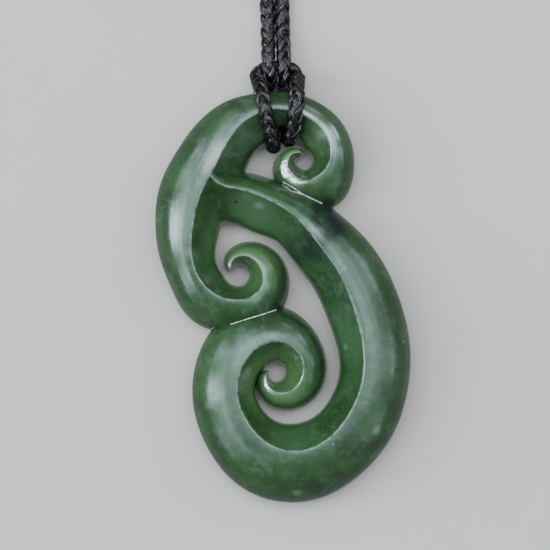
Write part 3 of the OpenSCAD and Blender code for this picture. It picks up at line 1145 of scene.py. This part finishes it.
@dataclass(frozen=True)
class Braid:
    """A round braid of eight strands, four winding each way, over two and under two."""

    diameter: float = 2.2
    pitch: float = 7.6  # length in which a strand goes round once
    strands: int = 4  # each way
    sides: int = 6  # round a strand
    half_wide: float = 0.54
    half_thick: float = 0.25
    wave: float = 0.19  # how far a strand rises and falls from its middle radius
    change: float = 1.7  # how quickly it does so at a crossing
    core: float = 0.55
    core_sides: int = 8
    core_every: int = 4  # stations from one ring of the core to the next
    # Unevenness as sines: how much, the length of a radian, and the shift, which is the braid's
    # own for the turn of its columns and goes with the strand for the rest
    drift: Table = ((0.35, 7.3, 1.0), (0.25, 11.9, 2.2))
    sway: Table = ((0.08, 1.3, 2.1), (0.08, 2.9, 3.3))
    swell: Table = ((0.13, 1.9, 1.9),)
    way_apart: float = 4.7  # between the strands' numbers of the two ways

    @staticmethod
    def uneven(run: np.ndarray, waves: Table, number: float = 1.0) -> np.ndarray:
        """Some sines added up.

        Args:
            run: Distances along the path.
            waves: The sines.
            number: What their shifts are multiplied by.

        Returns:
            The sum at each distance.
        """
        return sum(size * np.sin(run / radian + shift * number) for size, radian, shift in waves)

    def strand(
        self, line: Line, flatten: np.ndarray, columns: np.ndarray, turn: Turn, k: int
    ) -> np.ndarray:
        """One strand.

        Its middle goes round the path once a pitch, at a radius that rises where its way of
        winding lies on top and falls where the other does: four columns round the braid, changing
        places every quarter turn. Its section is an ellipse square to its own direction.

        Args:
            line: The path.
            flatten: At each station, how much wider and lower the braid is, as a share.
            columns: The turn of the columns there, in radians.
            turn: Its way of winding.
            k: Its number among those that wind its way.

        Returns:
            Its points, by station and place round it.
        """
        number = k + self.way_apart * turn.value
        angle = 2 * np.pi * (k / self.strands + turn.value * line.run / self.pitch)
        angle = angle + self.uneven(line.run, self.sway, number)
        on_top = np.tanh(self.change * np.cos(2 * angle)) * turn.value
        radius = self.diameter / 2 - self.half_thick - self.wave + self.wave * on_top
        spin = angle + columns
        across = (radius * np.cos(spin) * (1 + flatten))[:, None] * line.sides
        along = (radius * np.sin(spin) * (1 - flatten))[:, None] * line.ups
        middle = line.middles + across + along
        way = unit(np.gradient(middle, axis=0))
        wide = unit(np.cross(way, unit(across + along)))
        size = (1 + self.uneven(line.run, self.swell, number))[:, None]
        thick = self.half_thick * size * np.cross(wide, way)
        return ellipses(middle, self.half_wide * size * wide, thick, ring_angles(self.sides))

    def piece(self, name: str, line: Line, flatten: np.ndarray, phase: float = 0.0) -> bpy.types.Object:
        """The strands and the core, a plain tube, as an object in metres.

        Args:
            name: Its name.
            line: Its path in millimetres.
            flatten: How flat it is pressed at each station.
            phase: The turn of its columns at the start, in radians.

        Returns:
            The object.
        """
        columns = phase + self.uneven(line.run, self.drift)
        ways = [(turn, k) for turn in Turn for k in range(self.strands)]
        tubes = [(self.strand(line, flatten, columns, *way), line.run) for way in ways]
        angles = np.arange(self.core_sides) * 2 * np.pi / self.core_sides
        core = ellipses(line.middles, self.core * line.sides, self.core * line.ups, angles)
        tubes.append((core[:: self.core_every], line.run[:: self.core_every]))
        return tubes_piece(name, tubes)


@dataclass
class Cord:
    """The necklace cord, its hitch over the stone's rim and the knot that closes its loop."""

    braid: Braid = field(default_factory=Braid)
    finish: WaxedBraid = field(default_factory=WaxedBraid)
    diameter: float = 2.1
    close: float = 0.18  # between stations where it is seen close
    wide: float = 0.27  # and elsewhere
    phase: float = 0.78  # the turn of its columns at the start, in radians
    knot_turns: float = 2.5
    knot_rows: int = 41
    knot_step: float = 0.25
    slack: float = 0.05  # how much wider than high it lies
    pressed: float = 0.09  # and how much more where it is drawn over the rim
    lifted: tuple[float, float] = (3.0, 6.0)  # heights between which that comes on

    def loop(self) -> tuple[bpy.types.Object, Line]:
        """The cord itself, from the knot's left end round the loop to its right end.

        Returns:
            The object and the path that it follows.
        """
        left = [(-x, y, z) for x, y, z in FAR_LOOP]
        route = [*left, *HITCH_LEFT, *HITCH_RIGHT, *FAR_LOOP[::-1]]
        line = Line.through(route, self.close, self.wide)
        low, high = self.lifted
        over_rim = np.clip((line.middles[:, 2] - low) / (high - low), 0, 1)
        flatten = self.slack + self.pressed * smooth(over_rim)
        return self.braid.piece("cord_braid", line, flatten, self.phase), line

    def knot(self) -> bpy.types.Object:
        """The closing knot: the braid wound round its own middle.

        The winding's middle goes round the knot's axis at an even pitch. Its radius grows from
        the axis over the first quarter turn and shrinks to it over the last.

        Returns:
            The object.
        """
        low, high = (np.array(corner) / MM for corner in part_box("closing_knot"))
        middle, size = (low + high) / 2, high - low
        reach = size[2] / 2 - self.braid.diameter / 2
        share = np.linspace(0, 1, self.knot_rows)
        angle = 2 * np.pi * self.knot_turns * (share - 0.5) - np.pi / 2
        fade = np.minimum(1, np.minimum(share, 1 - share) * self.knot_turns * 4)
        half = size[0] / 2 - self.braid.diameter / 2
        rows = np.stack(
            [
                middle[0] + half * (2 * share - 1),
                middle[1] + reach * fade * np.cos(angle),
                middle[2] + reach * fade * np.sin(angle),
            ],
            axis=-1,
        )
        line = Line.through(rows.tolist(), self.knot_step, self.knot_step, first=(1, 0, 0))
        return self.braid.piece("knot_windings", line, np.zeros(len(line.run)))

    def build(self) -> list[bpy.types.Object]:
        """The cord and its knot, dressed and in their places.

        Returns:
            The two objects.
        """
        cord, line = self.loop()
        knot = self.knot()
        material = self.finish.material()
        for piece, node in ((cord, "cord"), (knot, "closing_knot")):
            piece.data.materials.append(material)
            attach(piece, "root")
            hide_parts(node)
        return [cord, knot]


# The soft sky over the stone, as round lamps on rings: how far a ring is from straight above, in
# degrees, and the power of its lamp at every 30 degrees round the stone, from +X towards +Y.
# down, watts
SKY = (
    (0, (0.5,)),
    (18, (0.85, 0, 1.5, 0, 1.5, 0, 0.5)),
    (36, (0.45, 0.8, 0.15, 0.1, 0.75, 0.85, 1.4, 0.8, 0, 0, 0, 0.1)),
    (54, (0.35, 0.45, 0.2, 0, 0.3, 0.85, 2.3, 0.5, 0, 0, 0, 0.2)),
    (72, (0.5, 0.8, 0.35, 0, 0.2, 0.85, 2.2, 0.6, 0, 0, 0, 0.25)),
)
SKY_STEP = 30


@dataclass(frozen=True)
class Lamp:
    """A round soft lamp of the sky, which lights the stone and isn't seen itself."""

    down: float
    about: float
    watts: float
    away: float = 0.8
    wide: float = 0.26
    colour: Colour = (0.82, 0.94, 1.0)

    def build(self) -> None:
        """Hangs the lamp, turned to the stone."""
        name = f"sky_{self.down:g}_{self.about:g}"
        data = bpy.data.lights.new(name, "AREA")
        data.shape = "DISK"
        data.size = self.wide
        data.energy, data.color = self.watts, self.colour
        lamp = bpy.data.objects.new(name, data)
        bpy.context.scene.collection.objects.link(lamp)
        down, about = math.radians(self.down), math.radians(self.about)
        level = math.sin(down)
        place = Vector((level * math.cos(about), level * math.sin(about), math.cos(down)))
        lamp.location = self.away * place
        lamp.rotation_mode = "QUATERNION"
        lamp.rotation_quaternion = (-place).to_track_quat("-Z", "Y")
        lamp.visible_camera = False


@dataclass
class Studio:
    """The camera, the lamps, the soft surrounding light and the floor."""

    view_wide: float = 0.0804  # what the picture shows across, at the height looked at
    look_at: Point = (-0.00117, 0.00314, 0.004)
    camera_up: float = 0.9
    sensor: float = 36.0
    sees: tuple[float, float] = (0.05, 10.0)  # the nearest and the farthest
    floor_z: float = -0.0001
    floor_wide: float = 3.0
    world: tuple[Colour, float] = ((0.94, 0.97, 1.0), 0.31)
    floor_finish: PlainFloor = field(default_factory=PlainFloor)
    lamps: tuple[Lamp, ...] = tuple(
        Lamp(down, SKY_STEP * i, watts) for down, ring in SKY for i, watts in enumerate(ring) if watts
    )

    def camera(self) -> None:
        """Sets up the camera, straight above with the picture's top towards +Y.

        Its focal length is the sensor's width times the distance over the width seen.
        """
        data = bpy.data.cameras.new("camera")
        data.sensor_width = self.sensor
        data.lens = self.sensor * (self.camera_up - self.look_at[2]) / self.view_wide
        data.clip_start, data.clip_end = self.sees
        camera = bpy.data.objects.new("camera", data)
        bpy.context.scene.collection.objects.link(camera)
        camera.location = (self.look_at[0], self.look_at[1], self.camera_up)
        bpy.context.scene.camera = camera

    def floor(self) -> bpy.types.Object:
        """The plain floor under everything.

        Returns:
            The object.
        """
        half = self.floor_wide / 2
        corners = np.array([(-half, -half), (half, -half), (half, half), (-half, half)])
        points = np.column_stack([corners, np.full(4, self.floor_z)])
        piece = mesh_piece("floor", points, [[0, 1, 2, 3]])
        piece.data.materials.append(self.floor_finish.material())
        piece.visible_glossy = False
        return piece

    def light(self) -> None:
        """Lights the lamps and the surroundings."""
        for lamp in self.lamps:
            lamp.build()
        world = bpy.data.worlds.new("surroundings")
        world.use_nodes = True
        background = world.node_tree.nodes["Background"]
        colour, strength = self.world
        background.inputs["Color"].default_value = (*colour, 1.0)
        background.inputs["Strength"].default_value = strength
        bpy.context.scene.world = world


def main() -> None:
    """Builds the camera, the cord, the stone and the studio, and reports each piece."""
    logging.basicConfig(level=logging.INFO, format="%(name)s: %(message)s")
    studio = Studio()
    studio.camera()
    for piece in Cord().build():
        LOG.info("%s has %d triangles", piece.name, triangles(piece))
    stone = Stone().build()
    LOG.info("%s has %d triangles", stone.name, triangles(stone))
    LOG.info("%s laid", studio.floor().name)
    studio.light()


if __name__ == "__main__":
    main()
